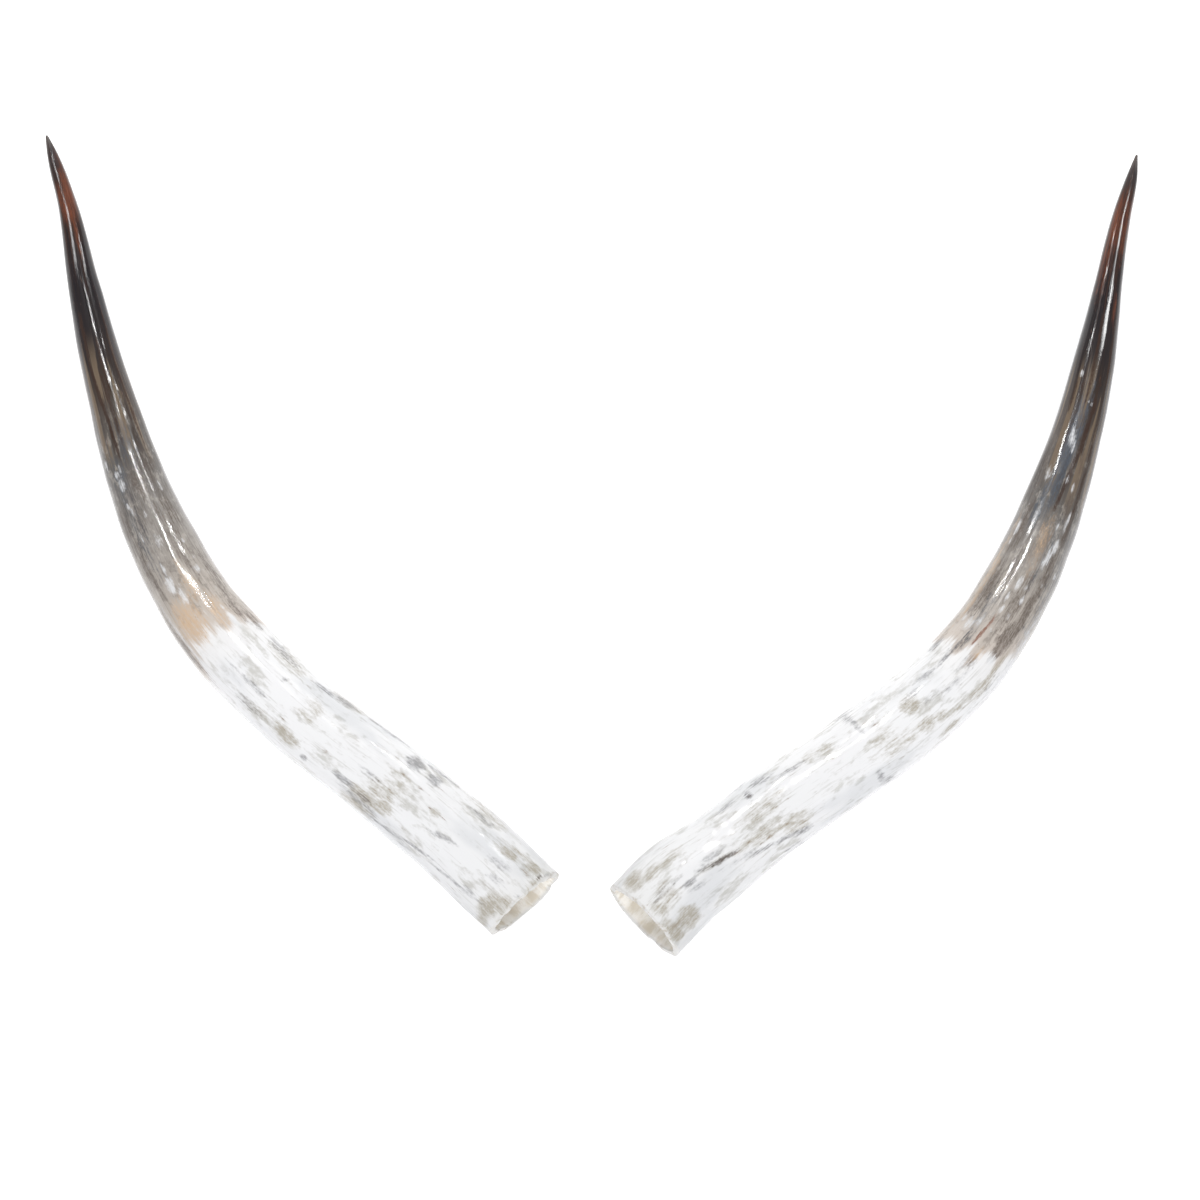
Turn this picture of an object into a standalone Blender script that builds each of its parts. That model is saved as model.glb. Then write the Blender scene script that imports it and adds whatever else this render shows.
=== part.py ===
# Pair of polished longhorn steer horns, lying on a table side by side with the thick ends together.
# Each horn is one grown piece: a slightly oval cone that sweeps round in one long bend and thins to a point.
# The bony core is gone, so the thick end is open, and it is sawn across and a little chipped.
# The tables are in millimetres and the model is in metres. +Z is up and the table is at z = 0.
# The origin is on the table, under the middle of the pair's outer box.

import math

import bmesh
import bpy
import numpy as np
from mathutils import Matrix, Vector

MM = 0.001

# Height of a horn's section over its width, all along
OVAL = 0.94

# Stations along each horn's axis: x, y, width of the horn there, and how far its underside is off the table.
# The first station lies past the saw cut. The tips curl up a little from the table.
LEFT_STATIONS = [
    (-44, -372, 82, 0),
    (-62, -355, 82.5, 0),
    (-130, -292, 82, 1),
    (-198, -237, 79, 2),
    (-269, -183, 77, 1.5),
    (-334.5, -123, 76, 0.5),
    (-366, -88, 72, 0),
    (-391, -50.5, 67.5, 0),
    (-421, 4.5, 61.5, 0.5),
    (-446, 62.5, 54, 1),
    (-467, 122.5, 45.5, 2.5),
    (-486, 183.5, 38.5, 5),
    (-502, 245, 31, 9),
    (-521, 325, 19.5, 14),
    (-541.5, 387.5, 9, 19),
    (-547, 403, 2.6, 21),
]
RIGHT_STATIONS = [
    (30, -389, 87, 0),
    (48, -371.5, 87.5, 0),
    (79, -340, 86.5, 0.5),
    (115, -314, 80, 1),
    (168, -273, 78, 2),
    (242, -223, 78, 1.5),
    (314.5, -168, 77.5, 0.5),
    (350, -136, 75, 0),
    (377, -104, 71, 0),
    (408.5, -54.5, 66, 0),
    (436.5, 2, 61, 0.5),
    (460.5, 61.5, 52, 1.5),
    (481, 123, 44.5, 3),
    (497.5, 186, 37, 5.5),
    (512, 251, 26, 8.5),
    (527, 316, 18.5, 12),
    (541.5, 364.5, 10, 14.5),
    (547, 384.5, 2.6, 16),
]

# The saw cut across each thick end: its middle in plan, the way that it faces in degrees from +X,
# and how far it leans back, so that the mouth can be looked into from above
LEFT_CUT = {"middle": (-61, -356.5), "heading": -48, "leans_back": 9}
RIGHT_CUT = {"middle": (48, -371.5), "heading": -136, "leans_back": 11}

# The hollow that the bony core filled: its wall at the rim, and how far it goes from the first station
WALL_AT_RIM = 6
HOLLOW_LENGTH = 340
HOLLOW_TAPER = 2.2
HOLLOW_STOPS_AT = 0.97

# Chips out of the rim: angle round it from its right-hand side seen from outside, with 90 on top, and size.
# Each is drawn out along the horn, and turned by its angle times the spin so that no two look the same.
LEFT_CHIPS = [(22, 5), (48, 7), (71, 4), (97, 6), (126, 5), (158, 7), (205, 5), (318, 5)]
RIGHT_CHIPS = [(64, 4), (112, 3), (171, 5), (300, 4)]
CHIP_LENGTH = 1.5
CHIP_SPIN = 3

SIDES = 32
RINGS = 50
HOLLOW_RINGS = 18

# In metres: the block that the saw takes away, and how close two points are to be joined as one
SAW_BLOCK = 0.16
JOIN_DISTANCE = 0.00001

# Faces that meet at more than this many degrees keep a sharp edge
SHARP_ANGLE = 40

HORN_COLOUR = (0.62, 0.59, 0.55, 1.0)
HORN_ROUGHNESS = 0.22


def clear_scene():
    """Remove what the opened scene holds."""
    for item in list(bpy.context.scene.objects):
        bpy.data.objects.remove(item, do_unlink=True)


def new_collection(name):
    """Make a collection in the scene."""
    collection = bpy.data.collections.new(name)
    bpy.context.scene.collection.children.link(collection)
    return collection


def new_material(name):
    """Make the polished horn material."""
    material = bpy.data.materials.new(name)
    material.use_nodes = True
    shader = material.node_tree.nodes["Principled BSDF"]
    shader.inputs["Base Color"].default_value = HORN_COLOUR
    shader.inputs["Roughness"].default_value = HORN_ROUGHNESS
    shader.inputs["Metallic"].default_value = 0.0
    return material


def smooth_rows(stations, count):
    """Read rows from the smooth curve through the stations.

    Each column follows a cubic between two stations, with the slope at a station taken from its neighbours.
    The rows are evenly spaced along the curve's length in plan.
    """
    rows = np.array(stations, float)
    steps = np.linalg.norm(np.diff(rows[:, :2], axis=0), axis=1)
    along = np.concatenate(([0.0], np.cumsum(steps)))
    slopes = np.gradient(rows, along, axis=0)
    places = np.linspace(0.0, along[-1], count)
    span = np.clip(np.searchsorted(along, places, side="right") - 1, 0, len(steps) - 1)
    length = steps[span][:, None]
    t = (places - along[span])[:, None] / length
    start, end = rows[span], rows[span + 1]
    leave, arrive = slopes[span] * length, slopes[span + 1] * length
    cubic = start * (2 * t**3 - 3 * t**2 + 1) + leave * (t**3 - 2 * t**2 + t)
    return cubic + end * (3 * t**2 - 2 * t**3) + arrive * (t**3 - t**2)


def tube_along(name, points, half_widths, profile, collection):
    """Sweep the oval profile along the points as a capped tube, and return it as a mesh object."""
    data = bpy.data.curves.new(name + "_path", "CURVE")
    data.dimensions = "3D"
    data.twist_mode = "Z_UP"
    data.bevel_mode = "OBJECT"
    data.bevel_object = profile
    data.use_fill_caps = True
    line = data.splines.new("POLY")
    line.points.add(len(points) - 1)
    for place, point, half_width in zip(line.points, points, half_widths):
        place.co = (*point, 1.0)
        place.radius = half_width
    path = bpy.data.objects.new(name + "_path", data)
    collection.objects.link(path)
    seen = path.evaluated_get(bpy.context.evaluated_depsgraph_get())
    mesh = bpy.data.meshes.new_from_object(seen)
    mesh.name = name
    weld_caps(mesh)
    bpy.data.objects.remove(path, do_unlink=True)
    tube = bpy.data.objects.new(name, mesh)
    collection.objects.link(tube)
    return tube


def weld_caps(mesh):
    """Join a swept tube to its caps and turn its faces outwards."""
    shape = bmesh.new()
    shape.from_mesh(mesh)
    bmesh.ops.remove_doubles(shape, verts=shape.verts, dist=JOIN_DISTANCE)
    bmesh.ops.recalc_face_normals(shape, faces=shape.faces)
    shape.to_mesh(mesh)
    shape.free()


def oval_profile(collection):
    """Make the oval section: a closed outline one metre in half-width, which each station scales."""
    data = bpy.data.curves.new("oval_profile", "CURVE")
    data.dimensions = "2D"
    line = data.splines.new("POLY")
    line.points.add(SIDES - 1)
    for index, place in enumerate(line.points):
        angle = 2 * math.pi * index / SIDES
        place.co = (math.cos(angle), OVAL * math.sin(angle), 0.0, 1.0)
    line.use_cyclic_u = True
    profile = bpy.data.objects.new("oval_profile", data)
    collection.objects.link(profile)
    hide_guide(profile)
    return profile


def hide_guide(item):
    """Mark an object as a guide or a cutter and not a part of the horns."""
    item.hide_render = True
    item.display_type = "WIRE"


def axis_points(rows):
    """Lift each row's axis so that the underside has the row's height off the table."""
    half_heights = OVAL * rows[:, 2] / 2
    return np.column_stack((rows[:, 0], rows[:, 1], rows[:, 3] + half_heights)) * MM


def hollow_rows(rows):
    """Give the bony core's rows: it follows the horn's axis inside the wall and closes in a blunt cone."""
    steps = np.linalg.norm(np.diff(rows[:, :2], axis=0), axis=1)
    along = np.concatenate(([0.0], np.cumsum(steps)))
    places = np.linspace(0.0, HOLLOW_STOPS_AT * HOLLOW_LENGTH, HOLLOW_RINGS)
    core = np.column_stack([np.interp(places, along, rows[:, column]) for column in range(rows.shape[1])])
    closing = 1 - (places / HOLLOW_LENGTH) ** HOLLOW_TAPER
    return core, (core[:, 2] / 2 - WALL_AT_RIM) * closing * MM


def cut_frame(cut, axis_height):
    """Give the matrix of a saw cut: its Z faces out of the horn and its X runs level across the rim."""
    turn = math.radians(cut["heading"])
    rise = math.radians(cut["leans_back"])
    outward = Vector((math.cos(turn) * math.cos(rise), math.sin(turn) * math.cos(rise), math.sin(rise)))
    across = Vector((-math.sin(turn), math.cos(turn), 0.0))
    upward = outward.cross(across)
    frame = Matrix((across, upward, outward)).transposed().to_4x4()
    frame.translation = Vector((cut["middle"][0] * MM, cut["middle"][1] * MM, axis_height))
    return frame


def saw_block(name, frame, collection):
    """Make the block that the saw takes away: a cube with one face on the cut."""
    mesh = bpy.data.meshes.new(name)
    shape = bmesh.new()
    bmesh.ops.create_cube(shape, size=SAW_BLOCK)
    bmesh.ops.translate(shape, verts=shape.verts, vec=(0.0, 0.0, SAW_BLOCK / 2))
    shape.to_mesh(mesh)
    shape.free()
    block = bpy.data.objects.new(name, mesh)
    block.matrix_world = frame
    collection.objects.link(block)
    hide_guide(block)
    return block


def chip_cutter(name, frame, half_width, angle, size, collection):
    """Make one bite out of the rim: a rough ball, drawn out along the horn, centred on the outer edge."""
    mesh = bpy.data.meshes.new(name)
    shape = bmesh.new()
    bmesh.ops.create_icosphere(shape, subdivisions=1, radius=size * MM)
    turn = math.radians(angle)
    centre = Vector((half_width * math.cos(turn), OVAL * half_width * math.sin(turn), 0.0))
    stretch = Matrix.Diagonal((1.0, 1.0, CHIP_LENGTH, 1.0))
    spin = Matrix.Rotation(CHIP_SPIN * turn, 4, "Z")
    bmesh.ops.transform(shape, matrix=Matrix.Translation(centre) @ stretch @ spin, verts=shape.verts)
    shape.to_mesh(mesh)
    shape.free()
    cutter = bpy.data.objects.new(name, mesh)
    cutter.matrix_world = frame
    collection.objects.link(cutter)
    hide_guide(cutter)
    return cutter


def take_away(body, cutter):
    """Cut one closed shape out of another with a Boolean."""
    cut = body.modifiers.new(cutter.name, "BOOLEAN")
    cut.operation = "DIFFERENCE"
    cut.solver = "EXACT"
    cut.object = cutter


def make_horn(name, stations, cut, chips, parts, guides, profile, material):
    """Build one horn: the swept horn, less the hollow, the sawn-off end and the chips in its rim."""
    rows = smooth_rows(stations, RINGS)
    horn = tube_along(name, axis_points(rows), rows[:, 2] / 2 * MM, profile, parts)
    horn.data.materials.append(material)
    core, core_half_widths = hollow_rows(rows)
    hollow = tube_along(name + "_core", axis_points(core), core_half_widths, profile, guides)
    hide_guide(hollow)
    rim_half_width = stations[1][2] / 2 * MM
    frame = cut_frame(cut, OVAL * rim_half_width)
    take_away(horn, hollow)
    take_away(horn, saw_block(name + "_saw", frame, guides))
    for index, (angle, size) in enumerate(chips):
        take_away(horn, chip_cutter(f"{name}_chip_{index}", frame, rim_half_width, angle, size, guides))
    horn.data.shade_smooth()
    horn.data.set_sharp_from_angle(angle=math.radians(SHARP_ANGLE))
    return horn


clear_scene()
part_collection = new_collection("pair_of_cow_horns")
guide_collection = new_collection("guides")
section = oval_profile(guide_collection)
polished_horn = new_material("polished_horn")
make_horn("left_horn", LEFT_STATIONS, LEFT_CUT, LEFT_CHIPS,
          part_collection, guide_collection, section, polished_horn)
make_horn("right_horn", RIGHT_STATIONS, RIGHT_CUT, RIGHT_CHIPS,
          part_collection, guide_collection, section, polished_horn)
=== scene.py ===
import math

import bpy
import numpy as np
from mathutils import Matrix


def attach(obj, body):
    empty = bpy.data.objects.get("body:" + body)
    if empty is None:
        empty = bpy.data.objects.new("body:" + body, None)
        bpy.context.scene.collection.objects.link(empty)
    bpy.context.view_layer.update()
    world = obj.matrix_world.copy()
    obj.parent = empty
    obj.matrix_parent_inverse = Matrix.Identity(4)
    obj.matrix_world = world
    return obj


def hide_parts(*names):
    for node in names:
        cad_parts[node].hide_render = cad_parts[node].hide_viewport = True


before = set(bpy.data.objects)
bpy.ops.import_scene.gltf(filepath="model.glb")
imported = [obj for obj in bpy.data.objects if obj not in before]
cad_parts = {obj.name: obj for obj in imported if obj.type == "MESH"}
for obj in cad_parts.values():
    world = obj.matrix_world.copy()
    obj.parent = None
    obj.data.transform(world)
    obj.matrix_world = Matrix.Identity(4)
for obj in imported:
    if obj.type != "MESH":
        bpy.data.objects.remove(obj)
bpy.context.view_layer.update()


# Left horn
# One long grown cone of keratin, sawn off at the skull, with the bony core gone, and buffed to a gloss.
# It is white and cloudy at the base, brown with white flecks at the bend, and black-brown to the tip.

# Millimetres: x, y, width of the horn, and how far its underside is off the table
LEFT_STATIONS = np.array([
    (-44, -372, 82, 0),
    (-62, -355, 82.5, 0),
    (-130, -292, 82, 1),
    (-198, -237, 79, 2),
    (-269, -183, 77, 1.5),
    (-334.5, -123, 76, 0.5),
    (-366, -88, 72, 0),
    (-391, -50.5, 67.5, 0),
    (-421, 4.5, 61.5, 0.5),
    (-446, 62.5, 54, 1),
    (-467, 122.5, 45.5, 2.5),
    (-486, 183.5, 38.5, 5),
    (-502, 245, 31, 9),
    (-521, 325, 19.5, 14),
    (-541.5, 387.5, 9, 19),
    (-547, 403, 2.6, 21),
])

# Middle of the saw cut in plan, the way that it faces from +X, and how far it leans back, in degrees
LEFT_CUT = ((-61, -356.5), -48, 9)

# Chips out of the rim: degrees round it, with 90 on top, depth and half-width in mm
LEFT_CHIPS = [
    (22, 5, 6), (48, 7, 6), (71, 5, 4), (97, 6, 7), (126, 5, 5), (158, 7, 7), (205, 5, 5), (318, 5, 6),
]

# Where the colours change, in mm along the horn, against the same ages on every horn
AGES = (0, 0.4, 0.5, 0.6, 0.72, 0.86, 0.93, 1)
LEFT_AGES_AT = (0, 405, 500, 600, 715, 850, 908, 956)

# How far the edge of the white is shifted along, in mm, at these degrees round the horn
LEFT_EDGE = [
    (0, -30), (20, -20), (35, -12), (50, -8), (57, 10), (64, -6), (75, -10), (85, 0), (97, 6), (108, 0),
    (118, 4), (126, 8), (133, -4), (140, 4), (148, -24), (165, -30), (270, -40),
]

# Marks under the polish, save the blue-grey ones, which are a painted sheen, and one pale one, which is a
# painted highlight: mm along the horn, degrees round it, half-length and half-width in mm, slant in degrees,
# and strength
LEFT_OLIVE = [
    (36, 108, 8, 10, 0, 0.9), (46, 124, 11, 16, 0, 1.5), (42, 152, 7, 12, 0, 1.0), (41, 45, 8, 7, 0, 0.8),
    (28, 60, 5, 8, 0, 0.5), (66, 55, 16, 4, 8, 1.0), (60, 44, 18, 3, 6, 0.6), (179, 120, 9, 8, 0, 1.2),
    (199, 127, 21, 7, 0, 1.6), (202, 146, 20, 9, 0, 1.0), (190, 106, 15, 9, 0, 0.4),
    (292, 128, 15, 8, 0, 1.3), (287, 86, 10, 3, 0, 0.5), (287, 68, 9, 5, 0, 0.5),
    (328, 130, 14, 6, 0, 0.45), (139, 82, 4, 4, 0, 0.4), (183, 84, 10, 10, 0, 0.25),
    (268, 22, 18, 9, 0, 0.8), (340, 36, 22, 9, 0, 0.5), (100, 25, 22, 6, 0, 0.35),
]
LEFT_GREY = [
    (22, 40, 7, 8, 0, 1.0), (20, 76, 3, 2, 0, 1.0), (84, 134, 34, 1.2, 8, 0.7),
    (132, 136, 24, 1.4, 9, 1.0), (172, 147, 28, 1.8, 5, 0.9), (118, 98, 16, 2.0, 12, 0.9),
    (65, 74, 13, 3, 8, 0.7), (58, 92, 10, 2, 6, 0.5), (160, 43, 8, 8, 0, 1.0), (182, 41, 11, 9, 0, 1.2),
    (160, 24, 20, 1.8, 5, 0.8), (222, 22, 24, 2.6, 0, 0.8), (226, 125, 16, 3, 0, 1.0),
    (205, 138, 26, 4, 0, 0.6), (268, 139, 4, 3, 30, 0.9), (270, 25, 14, 7, 0, 0.9),
    (292, 35, 14, 3, 0, 0.9), (345, 35, 20, 4, 0, 0.6), (358, 27, 16, 3, 0, 0.8),
    (352, 103, 22, 1.8, 0, 0.6), (327, 68, 3, 2, 0, 0.5), (336, 131, 16, 4, 0, 0.5),
    (108, 42, 10, 2, 0, 0.5), (95, 40, 3, 3, 0, 0.5), (143, 152, 8, 2, 5, 0.6), (70, 130, 8, 3, 10, 0.5),
    (208, 95, 10, 2, 0, 0.3), (30, 90, 6, 3, 0, 0.4),
]
LEFT_UMBER = [
    (395, 28, 14, 5, 0, 0.7), (425, 38, 30, 7, 0, 0.5), (540, 45, 22, 7, 0, 0.5),
    (505, 128, 40, 5, 0, 0.6), (545, 106, 30, 5, 0, 0.5), (420, 150, 40, 6, 0, 0.9),
    (470, 30, 26, 5, 0, 0.4), (500, 60, 40, 5, 0, 0.3), (575, 84, 22, 7, 0, 0.7),
    (590, 50, 18, 8, 0, 0.5), (535, 134, 30, 5, 0, 0.5), (200, 128, 8, 2.4, 0, 0.4),
]
LEFT_BROWN = [
    (28, 48, 5, 4, 0, 0.4), (650, 103, 44, 1.0, 3, 1.0), (690, 112, 34, 1.0, 3, 1.0),
    (640, 84, 26, 0.8, 0, 0.7), (676, 88, 30, 1.4, 2, 0.9), (700, 77, 34, 1.6, 0, 0.9),
    (690, 40, 90, 1.2, 0, 1.0), (618, 98, 16, 1.0, 0, 1.0), (735, 112, 34, 2.0, 0, 0.8),
]
LEFT_AMBER = [
    (428, 108, 26, 16, 0, 1.0), (422, 66, 20, 7, 0, 0.6), (450, 78, 26, 5, 0, 0.4),
    (872, 92, 18, 5, 0, 0.7), (866, 70, 34, 1.6, 3, 0.8), (888, 50, 30, 6, 0, 1.0),
    (885, 108, 16, 4, 0, 0.5), (840, 68, 20, 1.0, 3, 0.6), (900, 20, 30, 5, 0, 0.4),
]
LEFT_PALE_AND_GLINT = [
    (467, 106, 11, 4.6, 0, 1.0), (452, 96, 12, 2.0, 6, 0.9), (484, 103, 7, 1.6, 0, 0.7),
    (404, 57, 14, 3.0, 0, 1.0), (421, 57, 5, 1.2, 0, 0.9), (436, 141, 30, 2.0, 6, 0.6),
    (405, 138, 14, 2.0, 0, 0.5), (578, 112, 8, 2.6, 0, 0.9), (590, 116, 5, 2.4, 0, 1.0),
    (594, 106, 5, 1.0, 0, 0.6), (549, 110, 8, 1.5, 6, 0.7), (555, 115, 4, 1.2, 0, 0.7),
    (523, 114, 6, 1.0, 5, 0.7), (541, 90, 4, 1.2, 0, 0.7), (503, 50, 3, 1.6, 0, 0.6),
    (471, 55, 6, 2.2, 0, 0.6), (443, 45, 5, 1.2, 0, 0.5), (496, 124, 5, 2.0, 0, 0.5),
    (566, 42, 6, 2.0, 0, 0.5), (484, 48, 4, 1.4, 0, 0.6), (428, 82, 10, 0.8, 0, 0.5),
    # The pale mark at 512 mm and 88 degrees is a painted highlight: a glint of the gloss laid into the colour
    (604, 138, 7, 2.6, 0, 0.7), (512, 88, 8, 1.6, 0, 0.35), (446, 101, 5, 1.0, 0, 0.7),
]
# Painted sheen: blue-grey patches that stand in for a sheen on the gloss
LEFT_PAINTED_SHEEN = [(610, 76, 20, 6, 0, 0.3), (585, 112, 18, 6, 0, 0.4), (530, 112, 30, 4, 0, 0.1)]

# What the left horn's random waves start from
LEFT_SEED = 11

# Metres in a millimetre
MM = 0.001

# Height of a horn's section over its width, and the horn's wall at the rim in mm
OVAL = 0.94
WALL_AT_RIM = 6

# Where along the horn the hollow would close to a point, in mm, the power of its taper,
# and the share of that place at which its last ring lies
HOLLOW_LENGTH = 340
HOLLOW_TAPER = 2.2
HOLLOW_END = 0.97

# Points round a horn, and rings along its outside, over its rim, down its hollow and round its tip
SIDES = 240
OUTER_RINGS = 370
RIM_RINGS = 5
HOLLOW_RINGS = 30
TIP_RINGS = 5

# How much closer the rings lie towards the base, as a share, and towards the hollow's mouth, as a power
CLOSER_AT_BASE = 0.25
CLOSER_AT_MOUTH = 1.3

# Half the stretch in mm over which the axis's heading is read, and how far along the saw cut is looked for
HEADING_STEP = 0.5
CUT_WITHIN = 120.0

# Random waves: height in mm, mm along for about one wave, most waves round, how many are added up,
# and what is added to the horn's seed
SWELLS = (0.45, 170, 3, 28, 0)
FLUTES = (0.16, 260, 11, 28, 1)
FIBRES = (0.035, 120, 46, 60, 2)
RINGS = (0.10, 24, 1, 28, 3)
RIPPLES = (0.26, 75, 5, 28, 4)
RIM_CRUMBS = (0.06, 1, 60, 40, 5)
RIM_WAVES = (0.3, 1, 11, 28, 6)
HOLLOW_LUMPS = (0.35, 40, 9, 28, 7)
TORN_RIM = (0.25, 3, 50, 40, 8)

# Fewest and most waves that a random wave makes in its length
WAVE_SPREAD = (0.3, 1.7)

# The relief goes by a power of the share of the horn that is still ahead, which counts as TIP_SHARE at
# least, and loses LYING_LOSS where the horn lies on the table
TIP_SHARE = 0.05
TIP_POWER = 0.6
LYING_LOSS = 0.8

# Share of the growth rings: RINGS_START less 1 in RINGS_FADE mm along, kept from RINGS_LEAST to 1
RINGS_START = 1.3
RINGS_FADE = 300
RINGS_LEAST = 0.15

# How deep in mm the rim is worn away outside, the inner edge's share of that, a chip's share of its
# depth, its nicks' share of that, and their pace round the rim in radians for each mm
RIM_WORN = 0.4
INNER_WORN = 0.45
CHIP_SHARE = 0.4
CHIP_NICKS = 0.3
NICK_PACE = 2

# The depth that stands for no mark, and how much wider than stated a mark is on each side, in mm
NO_MARK = -1.0
MARK_SPREAD = 0.8

# Millimetres along over which the shifted edge of the white fades into the rest, the least half-width
# on which marks are laid, and the radius of the round rod that the grain is laid out on
EDGE_REACH = 45
LEAST_HALF = 1
GRAIN_RADIUS = 30


def station_steps(stations):
    """Lengths in plan of the steps from each station to the next."""
    return np.linalg.norm(np.diff(stations[:, :2], axis=0), axis=1)


def horn_length(stations):
    """Length of the line through the stations in plan: the sum of its steps."""
    return station_steps(stations).sum()


def smooth_rows(stations, along):
    """Rows of the stations' smooth curve at places along it: cubics, with their slopes by differences."""
    steps = station_steps(stations)
    stops = np.concatenate(([0.0], np.cumsum(steps)))
    slopes = np.gradient(stations, stops, axis=0)
    span = np.clip(np.searchsorted(stops, along, side="right") - 1, 0, len(steps) - 1)
    reach = steps[span][..., None]
    t = (along - stops[span])[..., None] / reach
    leave, arrive = slopes[span] * reach, slopes[span + 1] * reach
    cubic = stations[span] * (2 * t**3 - 3 * t**2 + 1) + leave * (t**3 - 2 * t**2 + t)
    return cubic + stations[span + 1] * (3 * t**2 - 2 * t**3) + arrive * (t**3 - t**2)


def horn_points(stations, along, turn, half_width):
    """Points of an oval carried along the axis: axis + half_width (cos(turn) across + OVAL sin(turn) up)."""
    length = horn_length(stations)
    here = np.clip(along, 0, length)

    def axis(place):
        row = smooth_rows(stations, np.clip(place, 0, length))
        return np.concatenate((row[..., :2], row[..., 3:] + OVAL * row[..., 2:3] / 2), axis=-1)

    ahead = axis(here + HEADING_STEP) - axis(here - HEADING_STEP)
    ahead /= np.linalg.norm(ahead, axis=-1, keepdims=True)
    across = np.stack((ahead[..., 1], -ahead[..., 0], np.zeros_like(here)), axis=-1)
    across /= np.linalg.norm(across, axis=-1, keepdims=True)
    upward = np.cross(across, ahead)
    past_tip = (along - here)[..., None] * ahead
    ring = np.cos(turn)[..., None] * across + OVAL * np.sin(turn)[..., None] * upward
    return axis(here) + past_tip + half_width[..., None] * ring


def random_waves(kind, seed, along, turn):
    """A smooth random height in mm: cosines, whole times round the horn and about once per reach along it."""
    height_mm, reach, turns, waves, seed_step = kind
    chance = np.random.default_rng(seed + seed_step)
    height = np.zeros(np.broadcast(along, turn).shape)
    for _ in range(waves):
        around = chance.integers(-turns, turns + 1)
        pace = 2 * np.pi / reach * chance.uniform(*WAVE_SPREAD)
        height += np.cos(around * turn + pace * along + chance.uniform(0, 2 * np.pi))
    return height_mm * (height / math.sqrt(waves))


def turned_from(turn, degrees):
    """How far each turn is past an angle: their difference, brought between half a turn back and half on."""
    return (turn - math.radians(degrees) + np.pi) % (2 * np.pi) - np.pi


def cut_facing(cut):
    """The way that a saw cut faces: its heading in plan, leaned back from upright."""
    facing, rise = math.radians(cut[1]), math.radians(cut[2])
    return np.array((math.cos(facing) * math.cos(rise), math.sin(facing) * math.cos(rise), math.sin(rise)))


def cut_places(stations, cut, turn, shrink):
    """Where the saw cut crosses each line along the horn: the place where the height over the cut is nil."""
    middle = np.array((*cut[0], OVAL * stations[1][2] / 2))
    along, around = np.meshgrid(np.arange(0, CUT_WITHIN), turn, indexing="ij")
    half = smooth_rows(stations, along)[..., 2] / 2 - shrink
    over = (horn_points(stations, along, around, half) - middle) @ cut_facing(cut)
    return np.array([np.interp(0, -over[:, side], along[:, side]) for side in range(len(turn))])


def rim_wear(stations, chips, turn, seed):
    """How far in mm the rim is worn away: a mean, fine and broad waves, and a bell-shaped dip per chip."""
    wear = RIM_WORN + random_waves(RIM_CRUMBS, seed, turn * 0, turn)
    wear = wear + random_waves(RIM_WAVES, seed, turn * 0, turn)
    for angle, depth, width in chips:
        round_by = turned_from(turn, angle) * stations[1][2] / 2
        nicks = 1 + CHIP_NICKS * np.cos(round_by * NICK_PACE)
        wear += depth * CHIP_SHARE * np.exp(-(round_by / width) ** 2) * nicks
    return wear


def relief(seed, along, turn, length):
    """Height in mm that growth and polishing leave: swells, ripples, flutes, fibres and rings added up.

    It fades by a power of the share of the horn that is still ahead, and by LYING_LOSS sin(turn)^2 on the
    underside, where the horn lies on the table.
    """
    ahead = np.clip((length - along) / length, TIP_SHARE, 1)
    near_base = np.clip(RINGS_START - along / RINGS_FADE, RINGS_LEAST, 1)
    lying = 1 - LYING_LOSS * np.clip(-np.sin(turn), 0, 1) ** 2
    height = sum(random_waves(kind, seed, along, turn) for kind in (SWELLS, RIPPLES, FLUTES, FIBRES))
    height = height + random_waves(RINGS, seed, along, turn) * near_base
    return height * ahead**TIP_POWER * lying


def closed_skin(name, rings):
    """A mesh over rings of points: four-cornered faces between them, and a fan to a pole at each end."""
    count = len(rings)
    grid = np.arange(count * SIDES).reshape(count, SIDES)
    beside = np.roll(grid, -1, axis=1)
    quads = np.stack((grid[:-1], grid[1:], beside[1:], beside[:-1]), axis=-1).reshape(-1, 4)
    first_pole = np.full(SIDES, count * SIDES)
    first_fan = np.stack((first_pole, grid[0], beside[0]), axis=-1)
    last_fan = np.stack((first_pole + 1, beside[-1], grid[-1]), axis=-1)
    poles = np.stack((rings[0].mean(axis=0), rings[-1].mean(axis=0)))
    places = np.concatenate((rings.reshape(-1, 3), poles)) * MM
    mesh = bpy.data.meshes.new(name)
    mesh.from_pydata(places.tolist(), [], quads.tolist() + first_fan.tolist() + last_fan.tolist())
    mesh.shade_smooth()
    return mesh


def mark_field(marks, along, turn, half_width):
    """How deep each point is in its nearest mark: strength (1 - d^2), d the oval distance from its middle."""
    field = np.full(along.shape, NO_MARK)
    for middle, angle, length, width, slant, strength in marks:
        step_on, step_round = along - middle, turned_from(turn, angle) * half_width
        lean = math.radians(slant)
        lengthwise = step_on * math.cos(lean) + step_round * math.sin(lean)
        sideways = step_round * math.cos(lean) - step_on * math.sin(lean)
        within = 1 - (lengthwise / length) ** 2 - (sideways / (width + MARK_SPREAD)) ** 2
        field = np.maximum(field, strength * within)
    return field


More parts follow.
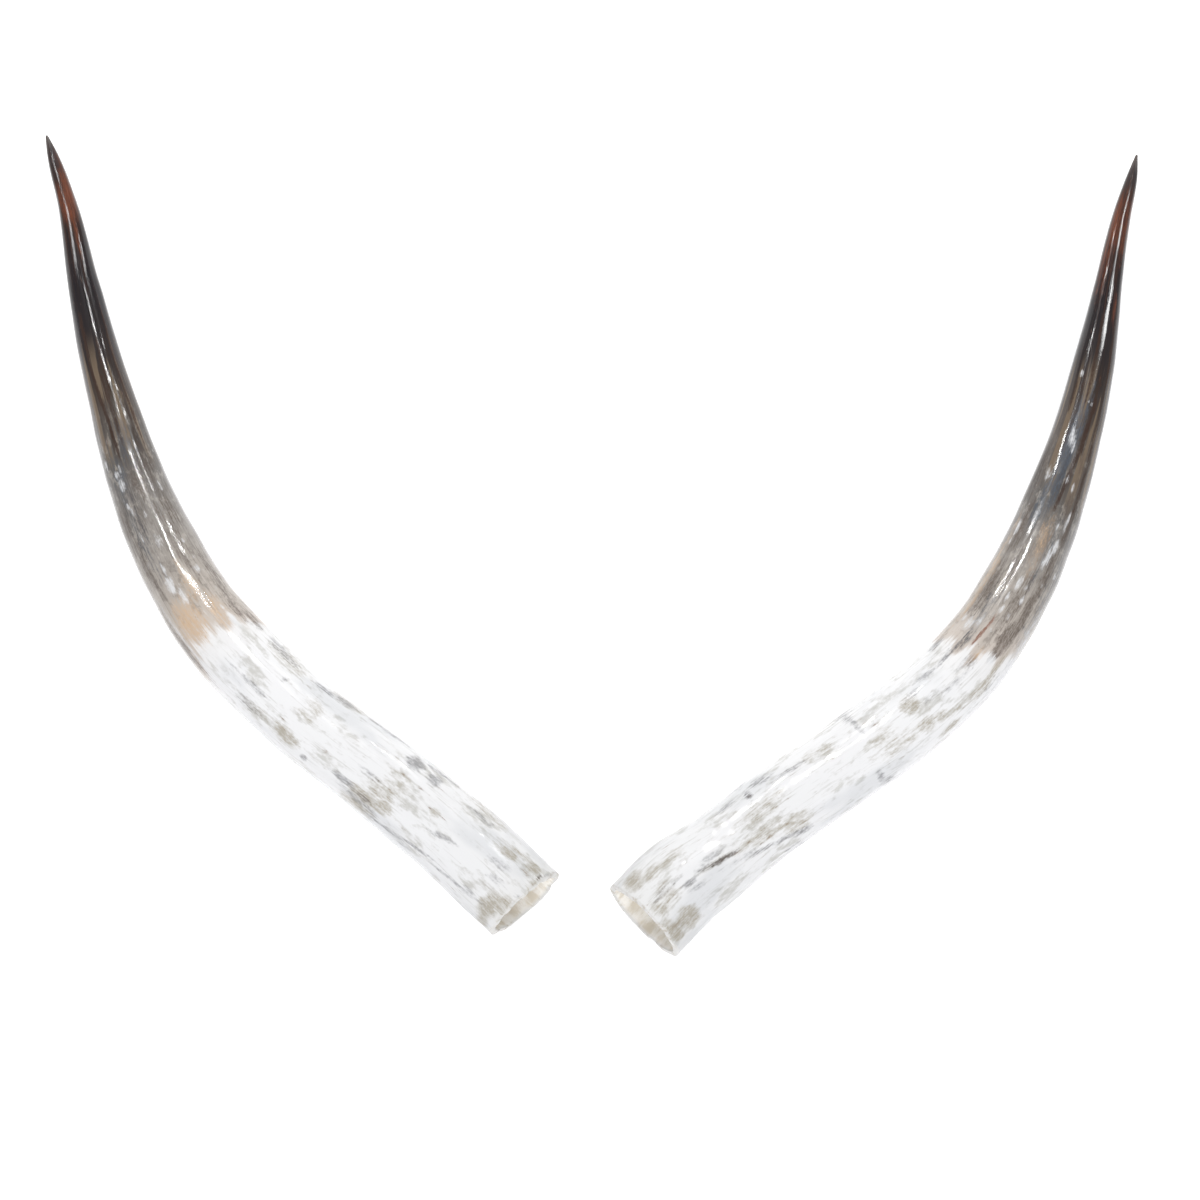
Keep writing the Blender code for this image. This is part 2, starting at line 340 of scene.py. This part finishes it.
def add_fields(mesh, stations, along, angles, ages_at, edge, marks):
    """Write on the mesh what its material reads at each point, with a ring's mean or first value at its pole.

    These are the age, which is the place along by ages_at with the edge of the white shifted, what is inside
    or sawn, the depth in each kind of mark, and the grain: a rod of one radius, with z along the horn.
    """
    half = np.maximum(smooth_rows(stations, np.clip(along, 0, horn_length(stations)))[..., 2] / 2, LEAST_HALF)
    whole_turn = (edge[0][0] + 360, edge[0][1])
    shift_at, shift = np.array(edge + [whole_turn], float).T
    near_edge = np.exp(-((along - ages_at[1]) / EDGE_REACH) ** 2)
    shifted = along - np.interp(np.degrees(angles), shift_at, shift) * near_edge
    inside = np.zeros(along.shape)
    inside[:HOLLOW_RINGS] = 1
    sawn = np.zeros(along.shape)
    sawn[HOLLOW_RINGS - 1:HOLLOW_RINGS + RIM_RINGS + 1] = 1
    fields = {"age": np.interp(shifted, ages_at, AGES), "inside": inside, "sawn": sawn}
    for kind, rows in marks.items():
        fields[kind] = mark_field(rows, along, angles, half)
    for label, values in fields.items():
        column = mesh.attributes.new(label, "FLOAT", "POINT")
        with_poles = np.concatenate((values.ravel(), values[[0, -1], 0]))
        column.data.foreach_set("value", with_poles.astype(np.float32))
    grain = np.stack((GRAIN_RADIUS * np.cos(angles), GRAIN_RADIUS * np.sin(angles), along), axis=-1) * MM
    column = mesh.attributes.new("grain", "FLOAT_VECTOR", "POINT")
    with_poles = np.concatenate((grain.reshape(-1, 3), grain[[0, -1]].mean(axis=1)))
    column.data.foreach_set("vector", with_poles.astype(np.float32).ravel())


def horn_mesh(name, stations, cut, chips, ages_at, edge, marks, step_in, seed):
    """One closed skin: up the hollow's wall, over the sawn rim, along the outside and round the tip.

    A place along the horn runs from the saw cut to the tip, so that the first rings lie in the cut.
    """
    length = horn_length(stations)
    turn = np.arange(SIDES) * 2 * np.pi / SIDES
    wear = rim_wear(stations, chips, turn, seed)
    outer_start = cut_places(stations, cut, turn, 0) + np.maximum(wear, 0)
    inner_start = cut_places(stations, cut, turn, WALL_AT_RIM) + np.maximum(INNER_WORN * wear, 0)

    run = np.linspace(0, 1, OUTER_RINGS)[:, None]
    spread = (1 - CLOSER_AT_BASE) * run + CLOSER_AT_BASE * run**2
    outer_along = outer_start + (length - outer_start) * spread
    around = np.broadcast_to(turn, outer_along.shape)
    outer_half = smooth_rows(stations, outer_along)[..., 2] / 2
    raised = relief(seed, outer_along, around, length) + step_in(outer_along, around)
    outer = horn_points(stations, outer_along, around, outer_half + raised)

    down = np.linspace(1, 0, HOLLOW_RINGS)[:, None]
    inner_along = inner_start + (HOLLOW_END * HOLLOW_LENGTH - inner_start) * down**CLOSER_AT_MOUTH
    closing = 1 - (inner_along / HOLLOW_LENGTH) ** HOLLOW_TAPER
    inner_half = (smooth_rows(stations, inner_along)[..., 2] / 2 - WALL_AT_RIM) * closing
    inner_half = inner_half + random_waves(HOLLOW_LUMPS, seed, inner_along, turn) * closing
    inner = horn_points(stations, inner_along, np.broadcast_to(turn, inner_along.shape), inner_half)

    share = np.linspace(0, 1, RIM_RINGS + 2)[1:-1, None]
    rim_along = inner_start * (1 - share) + outer_start * share
    torn = random_waves(TORN_RIM, seed, share * TORN_RIM[1], turn) * np.sin(np.pi * share)
    across_rim = inner[-1] * (1 - share[..., None]) + outer[0] * share[..., None]
    rim = across_rim + torn[..., None] * cut_facing(cut)

    round_off = (np.arange(1, TIP_RINGS + 1) / (TIP_RINGS + 1) * np.pi / 2)[:, None]
    end_half = outer_half[-1] * np.cos(round_off)
    tip_along = length + outer_half[-1] * np.sin(round_off)
    tip = horn_points(stations, tip_along, np.broadcast_to(turn, tip_along.shape), end_half)

    mesh = closed_skin(name, np.concatenate((inner, rim, outer, tip)))
    along = np.concatenate((inner_along, rim_along, outer_along, tip_along))
    add_fields(mesh, stations, along, np.broadcast_to(turn, along.shape), ages_at, edge, marks)
    return mesh


def add_node(tree, kind, inputs=(), **settings):
    """Put a node in a tree, set its properties, and give each named or numbered input its value or link."""
    node = tree.nodes.new(kind)
    for name, value in settings.items():
        setattr(node, name, value)
    for key, value in dict(inputs).items():
        if isinstance(value, bpy.types.NodeSocket):
            tree.links.new(value, node.inputs[key])
        else:
            node.inputs[key].default_value = value
    return node


def field_of(tree, label):
    """Read one of the mesh's own fields."""
    return add_node(tree, "ShaderNodeAttribute", attribute_name=label).outputs["Fac"]


def reckon(tree, operation, first, second=0.0, third=0.0):
    """One step of arithmetic."""
    return add_node(tree, "ShaderNodeMath", {0: first, 1: second, 2: third}, operation=operation).outputs[0]


def grain_noise(tree, grain, across, along, detail, lean, offset=0.0):
    """Cloudy noise with its own fineness across the fibres and along them, per metre."""
    stretched = add_node(tree, "ShaderNodeMapping", {
        "Vector": grain, "Scale": (across, across, along), "Location": (offset, offset, offset)})
    noise = add_node(tree, "ShaderNodeTexNoise", {
        "Vector": stretched.outputs[0], "Scale": 1.0, "Detail": detail, "Roughness": lean})
    return noise.outputs["Fac"]


def ease(tree, value, low, high, to_low=0.0, to_high=1.0):
    """A smooth step of a value, from to_low at low to to_high at high, which may be the smaller one."""
    node = add_node(tree, "ShaderNodeMapRange", {
        "Value": value, "From Min": low, "From Max": high, "To Min": to_low, "To Max": to_high},
        interpolation_type="SMOOTHSTEP")
    return node.outputs[0]


def tint(tree, share, under, over):
    """Lay one colour over another."""
    return add_node(tree, "ShaderNodeMix", {0: share, 6: under, 7: over}, data_type="RGBA").outputs[2]


def horn_colours(tree, age):
    """The colour that keratin has at each age along the horn, from the white base to the dark tip, with a
    painted highlight that lightens the very end of the tip.
    """
    ramp = add_node(tree, "ShaderNodeValToRGB", {0: age})
    stops = [
        (0.0, (0.530, 0.525, 0.512)),
        (0.06, (0.570, 0.569, 0.570)),
        (0.36, (0.585, 0.583, 0.585)),
        (0.396, (0.560, 0.553, 0.548)),
        (0.404, (0.405, 0.362, 0.325)),
        (0.45, (0.312, 0.283, 0.252)),
        (0.52, (0.205, 0.189, 0.172)),
        (0.57, (0.130, 0.121, 0.113)),
        (0.60, (0.085, 0.079, 0.073)),
        (0.67, (0.046, 0.036, 0.030)),
        (0.72, (0.017, 0.013, 0.013)),
        (0.80, (0.0085, 0.0070, 0.0085)),
        (0.87, (0.014, 0.0085, 0.0075)),
        (0.93, (0.018, 0.013, 0.0125)),
        (0.97, (0.026, 0.023, 0.024)),
        # Painted highlight: the last stop lightens the very end of the tip
        (1.0, (0.10, 0.09, 0.085)),
    ]
    band = ramp.color_ramp
    while len(band.elements) < len(stops):
        band.elements.new(0.5)
    for element, (place, colour) in zip(band.elements, stops):
        element.position = place
        element.color = (*colour, 1.0)
    return ramp.outputs[0]


def polished_horn_material():
    """Keratin under a buffed gloss: colour by age, cloudy white, marks with fibrous edges, fine fibres."""
    material = bpy.data.materials.new("polished_horn")
    material.use_nodes = True
    tree = material.node_tree
    shader = tree.nodes["Principled BSDF"]
    grain = add_node(tree, "ShaderNodeAttribute", attribute_name="grain").outputs["Vector"]
    age = field_of(tree, "age")

    # Fineness across the fibres and along them, detail, roughness, and an offset that sets each noise apart
    fibre = grain_noise(tree, grain, 620, 26, 4.0, 0.6)
    thread = grain_noise(tree, grain, 1500, 60, 3.0, 0.6, 7.0)
    cloud = grain_noise(tree, grain, 75, 22, 5.0, 0.62, 3.0)
    broad = grain_noise(tree, grain, 40, 9, 3.0, 0.5, 11.0)
    fleck = grain_noise(tree, grain, 330, 95, 4.0, 0.6, 19.0)
    speck = grain_noise(tree, grain, 760, 280, 2.0, 0.6, 23.0)
    streak = grain_noise(tree, grain, 150, 7, 3.0, 0.55, 31.0)
    mottle = grain_noise(tree, grain, 150, 70, 5.0, 0.66, 41.0)
    ragged_cloud = reckon(tree, "ADD", cloud, reckon(tree, "MULTIPLY_ADD", fleck, 0.5, -0.25))

    fibre_wobble = reckon(tree, "MULTIPLY_ADD", fibre, 0.030, -0.015)
    cloud_wobble = reckon(tree, "MULTIPLY_ADD", cloud, 0.050, -0.025)
    wobble = reckon(tree, "ADD", fibre_wobble, cloud_wobble)
    colour = horn_colours(tree, reckon(tree, "ADD", age, wobble))

    # Stretches of the horn, by its age
    white = ease(tree, age, 0.405, 0.37)
    brown = ease(tree, age, 0.40, 0.44)
    middle = reckon(tree, "MULTIPLY", ease(tree, age, 0.40, 0.42), ease(tree, age, 0.68, 0.60))
    browning = reckon(tree, "MULTIPLY", ease(tree, age, 0.575, 0.63), ease(tree, age, 0.75, 0.70))
    dark = ease(tree, age, 0.55, 0.70)
    end = ease(tree, age, 0.72, 0.80)

    # In turn: warm and cold clouds and grey hairs in the white, brown hairs beyond it, tan hairs, dirt, haze
    # and white flecks in the middle, dark and light streaks where it browns, and embers towards the tip.
    # Each has a noise, the noise's values where it starts and is full, its stretch, its share and its colour.
    for noise, start, full, stretch, share, paint in (
        (ragged_cloud, 0.50, 0.70, white, 0.62, (0.30, 0.29, 0.257, 1.0)),
        (broad, 0.52, 0.66, white, 0.30, (0.35, 0.365, 0.385, 1.0)),
        (fibre, 0.54, 0.70, white, 0.42, (0.34, 0.335, 0.31, 1.0)),
        (fibre, 0.50, 0.64, brown, 0.19, (0.030, 0.019, 0.014, 1.0)),
        (thread, 0.56, 0.72, middle, 0.20, (0.37, 0.32, 0.26, 1.0)),
        (mottle, 0.52, 0.64, middle, 0.38, (0.085, 0.070, 0.058, 1.0)),
        (mottle, 0.47, 0.36, middle, 0.40, (0.36, 0.335, 0.30, 1.0)),
        (fleck, 0.63, 0.72, middle, 0.42, (0.48, 0.487, 0.49, 1.0)),
        (streak, 0.49, 0.60, browning, 0.75, (0.028, 0.018, 0.013, 1.0)),
        (streak, 0.48, 0.40, browning, 0.60, (0.150, 0.110, 0.073, 1.0)),
        (streak, 0.52, 0.66, end, 0.6, (0.040, 0.018, 0.011, 1.0)),
    ):
        mask = reckon(tree, "MULTIPLY", ease(tree, noise, start, full), stretch)
        colour = tint(tree, reckon(tree, "MULTIPLY", mask, share), colour, paint)

    # The marks' edges are ragged by three noises, and their insides are woven from the finest two.
    # Each has its colour, its share, and the depths in it where it starts and is full.
    coarse_edge = reckon(tree, "MULTIPLY_ADD", fleck, 2.3, -1.2)
    fine_edge = reckon(tree, "MULTIPLY_ADD", speck, 1.0, -0.5)
    long_edge = reckon(tree, "MULTIPLY_ADD", fibre, 2.4, -1.2)
    ragged = reckon(tree, "ADD", reckon(tree, "ADD", coarse_edge, fine_edge), long_edge)
    weave = reckon(tree, "MULTIPLY_ADD", speck, 0.5, reckon(tree, "MULTIPLY", thread, 0.5))
    woven = ease(tree, weave, 0.40, 0.56, 0.62, 1.0)
    amber = tint(tree, dark, (0.42, 0.300, 0.195, 1.0), (0.135, 0.040, 0.018, 1.0))
    for label, paint, share, start, full in (
        ("olive", (0.265, 0.240, 0.190, 1.0), 0.84, -0.60, 1.20),
        ("grey", (0.175, 0.174, 0.178, 1.0), 0.85, -0.50, 1.20),
        ("umber", (0.075, 0.057, 0.046, 1.0), 0.80, -0.40, 1.00),
        # The blue-grey paint is a painted sheen
        ("painted_sheen", (0.056, 0.068, 0.085, 1.0), 0.80, -0.50, 1.00),
        ("amber", amber, 0.85, -0.60, 1.30),
        ("brown", (0.030, 0.016, 0.011, 1.0), 0.88, -0.20, 0.70),
        ("rust", (0.165, 0.080, 0.056, 1.0), 0.90, -0.60, 0.60),
        # The pale paint also lays one painted highlight, a glint of the gloss, on the left horn
        ("pale", (0.52, 0.523, 0.530, 1.0), 0.82, -0.15, 1.10),
    ):
        depth = reckon(tree, "ADD", field_of(tree, label), ragged)
        mask = reckon(tree, "MULTIPLY", ease(tree, depth, start, full), share)
        colour = tint(tree, reckon(tree, "MULTIPLY", mask, woven), colour, paint)

    # Bone dust inside the hollow, lightened beyond the outside's white as painted light, so that the shaded
    # hollow reads bright, and chalky keratin where the saw went
    bone_dust_and_painted_light = tint(tree, ease(tree, cloud, 0.46, 0.62), (0.86, 0.835, 0.785, 1.0), (0.66, 0.605, 0.51, 1.0))
    colour = tint(tree, field_of(tree, "inside"), colour, bone_dust_and_painted_light)
    chalk = tint(tree, ease(tree, fleck, 0.50, 0.68), (0.56, 0.552, 0.535, 1.0), (0.42, 0.39, 0.34, 1.0))
    colour = tint(tree, field_of(tree, "sawn"), colour, chalk)
    tree.links.new(colour, shader.inputs["Base Color"])

    # The buffed gloss starts a little way up from the rim, and there is none on the inside and the saw cut
    raw = reckon(tree, "MAXIMUM", field_of(tree, "inside"), field_of(tree, "sawn"))
    unbuffed = ease(tree, age, 0.03, 0.17, 0.35, 0.0)
    roughness = reckon(tree, "ADD", reckon(tree, "MULTIPLY_ADD", fibre, 0.10, 0.10), unbuffed)
    tree.links.new(tint(tree, raw, roughness, (0.75, 0.75, 0.75, 1.0)), shader.inputs["Roughness"])
    buffed = ease(tree, age, 0.03, 0.17, 0.0, 0.52)
    outside = reckon(tree, "SUBTRACT", 1.0, raw)
    tree.links.new(reckon(tree, "MULTIPLY", buffed, outside), shader.inputs["Coat Weight"])
    shader.inputs["Coat Roughness"].default_value = 0.03
    shader.inputs["Coat IOR"].default_value = 1.36
    shader.inputs["IOR"].default_value = 1.54
    shader.inputs["Specular IOR Level"].default_value = 0.12

    # Fine lines along the horn, as a bump of 0.3 mm at most
    lines = reckon(tree, "MULTIPLY_ADD", fibre, 0.6, reckon(tree, "MULTIPLY", thread, 0.4))
    bump = add_node(tree, "ShaderNodeBump", {"Height": lines, "Strength": 0.25, "Distance": 0.0003})
    tree.links.new(bump.outputs[0], shader.inputs["Normal"])
    tree.links.new(bump.outputs[0], shader.inputs["Coat Normal"])
    return material


def no_step(along, turn):
    """A horn with no growth step."""
    return np.zeros(along.shape)


polished_horn = polished_horn_material()
left_marks = {"olive": LEFT_OLIVE, "grey": LEFT_GREY, "umber": LEFT_UMBER, "painted_sheen": LEFT_PAINTED_SHEEN,
              "amber": LEFT_AMBER, "brown": LEFT_BROWN, "rust": [], "pale": LEFT_PALE_AND_GLINT}
left_horn = bpy.data.objects.new("left_horn_skin", horn_mesh(
    "left_horn_skin", LEFT_STATIONS, LEFT_CUT, LEFT_CHIPS, LEFT_AGES_AT, LEFT_EDGE, left_marks,
    no_step, LEFT_SEED))
bpy.context.scene.collection.objects.link(left_horn)
left_horn.data.materials.append(polished_horn)
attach(left_horn, "root")
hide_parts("left_horn")


# Right horn
# The fellow of the left horn, a little thicker at its base, grown the other way round.
# It has the same make, with a growth step across its upper side and a dark streak by its base.

RIGHT_STATIONS = np.array([
    (30, -389, 87, 0),
    (48, -371.5, 87.5, 0),
    (79, -340, 86.5, 0.5),
    (115, -314, 80, 1),
    (168, -273, 78, 2),
    (242, -223, 78, 1.5),
    (314.5, -168, 77.5, 0.5),
    (350, -136, 75, 0),
    (377, -104, 71, 0),
    (408.5, -54.5, 66, 0),
    (436.5, 2, 61, 0.5),
    (460.5, 61.5, 52, 1.5),
    (481, 123, 44.5, 3),
    (497.5, 186, 37, 5.5),
    (512, 251, 26, 8.5),
    (527, 316, 18.5, 12),
    (541.5, 364.5, 10, 14.5),
    (547, 384.5, 2.6, 16),
])
RIGHT_CUT = ((48, -371.5), -136, 11)
RIGHT_CHIPS = [(64, 4, 6), (112, 3, 6), (171, 5, 6), (300, 4, 5)]
RIGHT_AGES_AT = (0, 425, 510, 590, 730, 865, 922, 971)
RIGHT_EDGE = [
    (0, 22), (30, 26), (44, 20), (54, 0), (62, 3), (76, 4), (86, -4), (94, -26), (103, 0), (112, -22),
    (120, -26), (128, -10), (138, -6), (147, -8), (156, -24), (175, -26), (270, -10),
]

RIGHT_OLIVE = [
    (38, 55, 8, 15, 0, 1.2), (57, 52, 13, 14, 0, 1.4), (44, 88, 8, 8, 0, 0.8), (57, 92, 10, 8, 0, 0.6),
    (45, 138, 11, 12, 0, 1.2), (60, 126, 10, 8, 0, 0.7), (110, 86, 22, 2.4, -5, 1.0),
    (192, 62, 16, 9, 0, 0.8), (165, 75, 30, 7, -8, 0.45), (253, 125, 7, 5, 0, 0.6),
    (237, 131, 6, 4, 0, 0.3), (341, 102, 9, 9, 0, 0.8), (343, 68, 10, 8, 0, 0.8), (357, 62, 7, 5, 0, 0.6),
    (359, 35, 14, 4, 0, 0.9), (412, 53, 32, 2.6, 0, 1.0), (300, 92, 14, 5, 0, 0.35),
    (400, 47, 16, 3, 0, 0.5), (372, 55, 10, 3, 0, 0.5), (170, 105, 20, 6, 0, 0.3),
    (310, 70, 20, 6, 0, 0.3), (78, 125, 12, 5, 0, 0.35),
]
RIGHT_GREY = [
    (108, 97, 16, 3, 0, 0.8), (78, 86, 8, 2.4, 0, 0.9), (112, 85, 20, 2.0, -5, 1.0),
    (96, 90, 12, 2, 0, 0.6), (152, 60, 18, 1.8, -10, 0.7), (176, 51, 20, 2.0, -12, 0.9),
    (194, 42, 11, 3, -6, 1.0), (176, 27, 10, 2, 0, 0.8), (183, 10, 12, 7, 0, 0.8),
    (172, 136, 4, 8, 0, 1.0), (186, 146, 12, 4, 0, 0.8), (193, 138, 8, 2, 0, 0.7),
    (150, 144, 10, 3, 0, 0.5), (170, 172, 10, 8, 0, 0.6), (281, 42, 4, 9, 0, 0.8),
    (286, 24, 9, 6, 0, 0.7), (290, 128, 3, 12, 0, 0.7), (288, 150, 4, 6, 0, 0.5),
    (402, 121, 24, 1.8, 0, 0.9), (372, 121, 14, 1.8, 0, 0.6), (350, 111, 12, 2, 0, 0.6),
    (360, 92, 10, 2, 0, 0.4), (388, 84, 16, 2, 0, 0.4), (408, 96, 14, 2, 0, 0.6), (60, 98, 14, 2, 0, 0.4),
    (130, 70, 20, 1.6, -8, 0.4), (80, 76, 8, 2, -6, 0.5), (215, 127, 14, 2, 0, 0.4),
    (405, 152, 12, 4, 0, 0.9), (290, 168, 10, 8, 0, 0.6),
]
RIGHT_UMBER = [
    (112, 85, 18, 1.2, -5, 0.8), (172, 132, 3, 4, 0, 0.5), (412, 88, 8, 3, 0, 0.8),
    (446, 70, 22, 7, 0, 1.5), (475, 62, 34, 5, 0, 1.3), (520, 60, 34, 4, 0, 1.1),
    (482, 142, 40, 9, 0, 0.9), (560, 138, 36, 5, 0, 0.7), (575, 56, 26, 3, 0, 0.9),
    (510, 120, 30, 4, 0, 0.5), (480, 86, 34, 5, 0, 0.5), (555, 86, 24, 4, 0, 0.6),
    (590, 70, 20, 5, 0, 0.5), (420, 118, 16, 1.8, 0, 0.6), (620, 60, 50, 5, 0, 0.5),
    (640, 145, 60, 3, 0, 0.5),
]
RIGHT_BROWN = [
    (610, 91, 36, 1.6, -3, 1.0), (672, 80, 60, 2.0, -2.5, 1.0), (704, 134, 22, 0.8, 0, 1.0),
    (722, 97, 30, 0.8, -2, 0.9), (760, 100, 50, 1.0, 0, 0.8), (640, 56, 60, 1.0, 0, 0.6),
    (760, 52, 50, 2.4, 0, 0.9), (720, 116, 16, 1.2, 0, 0.7),
]
RIGHT_AMBER = [
    (500, 156, 60, 4, 0, 0.5), (548, 92, 26, 4, 0, 0.35), (850, 130, 30, 2.4, 0, 0.3),
    (420, 88, 8, 3, 0, 0.4), (800, 62, 16, 1.2, 0, 0.5), (888, 112, 24, 3, 0, 0.4),
    (894, 134, 34, 4, 0, 0.9), (885, 62, 30, 2.5, 0, 0.5), (905, 90, 22, 3, 0, 0.3),
    (850, 150, 30, 3, 0, 0.3), (902, 20, 26, 5, 0, 0.6),
]
RIGHT_PALE = [
    (441, 131, 10, 4.5, 0, 1.0), (446, 145, 5, 2.4, 0, 0.8), (501, 97, 10, 2.2, 0, 1.0),
    (536, 73, 14, 2.4, -6, 1.0), (550, 66, 9, 2.8, 0, 1.0), (576, 62, 13, 1.4, 0, 0.9),
    (556, 146, 10, 1.8, 0, 1.0), (617, 131, 9, 2.0, 0, 0.6), (660, 106, 12, 3.0, 0, 0.6),
    (652, 100, 9, 1.6, 0, 0.5), (698, 85, 3, 1.0, 0, 0.9), (700, 92, 3, 1.0, 0, 0.9),
    (728, 127, 4, 1.4, 0, 0.6), (470, 100, 6, 1.6, 0, 0.7), (484, 103, 6, 1.4, 0, 0.7),
    (425, 68, 5, 4, 0, 0.8), (489, 80, 5, 1.4, 0, 0.6), (468, 86, 5, 1.2, 0, 0.6),
    (610, 75, 6, 1.0, 0, 0.7), (526, 42, 4, 1.6, 0, 0.7), (574, 122, 14, 1.2, 0, 0.6),
    (540, 148, 4, 1.0, 0, 0.6), (616, 90, 5, 1.0, 0, 0.5), (512, 60, 3, 1.0, 0, 0.6),
    (455, 30, 50, 7, 0, 0.6), (448, 118, 10, 2, 0, 0.5), (500, 84, 4, 1.0, 0, 0.5),
    (570, 78, 5, 1.2, 0, 0.5),
]
# Painted sheen: a blue-grey band and patches that stand in for a sheen on the gloss
RIGHT_PAINTED_SHEEN = [
    (640, 106, 66, 7, -1, 1.0), (590, 122, 34, 5, 0, 0.7), (690, 90, 30, 3, 0, 0.6),
    (455, 120, 30, 3, 0, 0.1), (500, 30, 60, 8, 0, 0.2), (545, 78, 26, 4, 0, 0.2),
]
RIGHT_RUST = [(442, 104, 19, 0.9, -3, 1.2)]
RIGHT_SEED = 47

# The growth step: mm along, mm that it slants either way, the turn at which the slant crosses the middle,
# the degrees round where it is highest and its width there as a turn, its height in mm,
# and the mm along over which it drops and then evens out again
STEP_AT = 290
STEP_SLANT = 14
STEP_CROSSING = 2.0
STEP_TOP = 140
STEP_WIDTH = 0.7
STEP_HEIGHT = 0.5
STEP_DROP = 1.6
STEP_EVENS_OUT = 40


def growth_step(along, turn):
    """A low step across the upper inner side: a smooth drop towards the tip, less and less round the horn."""
    place = along - STEP_AT - STEP_SLANT * np.sin(turn - STEP_CROSSING)
    upper = np.exp(-((turn - math.radians(STEP_TOP)) / STEP_WIDTH) ** 2)
    drop = -STEP_HEIGHT * upper / (1 + np.exp(-place / STEP_DROP))
    return drop * np.exp(-np.clip(place, 0, None) / STEP_EVENS_OUT)


right_marks = {"olive": RIGHT_OLIVE, "grey": RIGHT_GREY, "umber": RIGHT_UMBER, "painted_sheen": RIGHT_PAINTED_SHEEN,
               "amber": RIGHT_AMBER, "brown": RIGHT_BROWN, "rust": RIGHT_RUST, "pale": RIGHT_PALE}
right_horn = bpy.data.objects.new("right_horn_skin", horn_mesh(
    "right_horn_skin", RIGHT_STATIONS, RIGHT_CUT, RIGHT_CHIPS, RIGHT_AGES_AT, RIGHT_EDGE, right_marks,
    growth_step, RIGHT_SEED))
bpy.context.scene.collection.objects.link(right_horn)
right_horn.data.materials.append(polished_horn)
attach(right_horn, "root")
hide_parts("right_horn")


# Table
# A plain matt white top under the horns, wide enough to fill the picture.
# It glows a little, as a photo table does that is lit from below.

# Half of the table's side in metres
TABLE_REACH = 6.0

corners = [(-TABLE_REACH, -TABLE_REACH, 0), (TABLE_REACH, -TABLE_REACH, 0),
           (TABLE_REACH, TABLE_REACH, 0), (-TABLE_REACH, TABLE_REACH, 0)]
table_mesh = bpy.data.meshes.new("table_top")
table_mesh.from_pydata(corners, [], [(0, 1, 2, 3)])
table = bpy.data.objects.new("table_top", table_mesh)
bpy.context.scene.collection.objects.link(table)
white_top = bpy.data.materials.new("white_top")
white_top.use_nodes = True
top_shader = white_top.node_tree.nodes["Principled BSDF"]
top_shader.inputs["Base Color"].default_value = (0.79, 0.79, 0.79, 1)
top_shader.inputs["Roughness"].default_value = 0.9
top_shader.inputs["Specular IOR Level"].default_value = 0.1
top_shader.inputs["Emission Color"].default_value = (1, 1, 1, 1)
top_shader.inputs["Emission Strength"].default_value = 0.3
table_mesh.materials.append(white_top)


# Studio
# Five lamps beyond the tips draw the lines on the gloss, and pale walls in front and behind fill in.
# The camera looks down from over the sawn bases, leaning a little towards the tips.

# Strength of the room's light at the foot of the walls and overhead, and what the front and back walls add
ROOM_LOW = 0.5
ROOM_OVERHEAD = 0.46
FRONT_WALL = 1.7
BACK_WALL = 0.45

# The camera's lens and film in mm, its place in metres, and its lean from straight down in degrees
LENS = 52.5
FILM = 36
CAMERA_PLACE = (0.008, -0.3312, 1.6840)
CAMERA_LEAN = 9


def soft_lamp(name, place, width, length, power):
    """A flat lamp at a place, turned to face the table's middle, with its length pointing towards it."""
    data = bpy.data.lights.new(name, "AREA")
    data.shape = "RECTANGLE"
    data.size = width
    data.size_y = length
    data.energy = power
    lamp = bpy.data.objects.new(name, data)
    lamp.location = place
    away = math.hypot(place[0], place[1])
    lamp.rotation_euler = (math.atan2(away, place[2]), 0, math.atan2(-place[1], -place[0]) - math.pi / 2)
    bpy.context.scene.collection.objects.link(lamp)


# Place, width and length in metres, and power in watts
soft_lamp("lamp_behind", (-0.16, 1.1, 1.9), 0.06, 0.38, 18.5)
soft_lamp("lamp_right", (1.25, 1.22, 1.75), 0.34, 0.34, 16.5)
soft_lamp("lamp_left", (-1.3, 1.5, 1.9), 0.42, 0.42, 16.5)
soft_lamp("lamp_far_right", (0.95, 2.1, 1.8), 0.09, 0.09, 5)
soft_lamp("lamp_far_left", (-0.95, 2.0, 1.7), 0.10, 0.14, 8)

world = bpy.data.worlds.new("room")
world.use_nodes = True
room = world.node_tree
sky_place = add_node(room, "ShaderNodeTexCoord").outputs["Generated"]
heading = add_node(room, "ShaderNodeSeparateXYZ", {0: sky_place})
walls = ease(room, heading.outputs["Z"], 0.1, 0.7, ROOM_LOW, ROOM_OVERHEAD)
front_wall = ease(room, heading.outputs["Y"], -0.6, -0.15, FRONT_WALL, 0.0)
back_wall = ease(room, heading.outputs["Y"], 0.6, 0.85, 0.0, BACK_WALL)
glow = reckon(room, "ADD", walls, reckon(room, "ADD", front_wall, back_wall))
room.links.new(glow, room.nodes["Background"].inputs["Strength"])
room.nodes["Background"].inputs["Color"].default_value = (0.975, 0.98, 1.0, 1)
bpy.context.scene.world = world
bpy.context.scene.view_settings.view_transform = "Standard"

camera_data = bpy.data.cameras.new("camera")
camera_data.lens = LENS
camera_data.sensor_width = FILM
camera = bpy.data.objects.new("camera", camera_data)
camera.location = CAMERA_PLACE
camera.rotation_euler = (math.radians(CAMERA_LEAN), 0, 0)
bpy.context.scene.collection.objects.link(camera)
bpy.context.scene.camera = camera
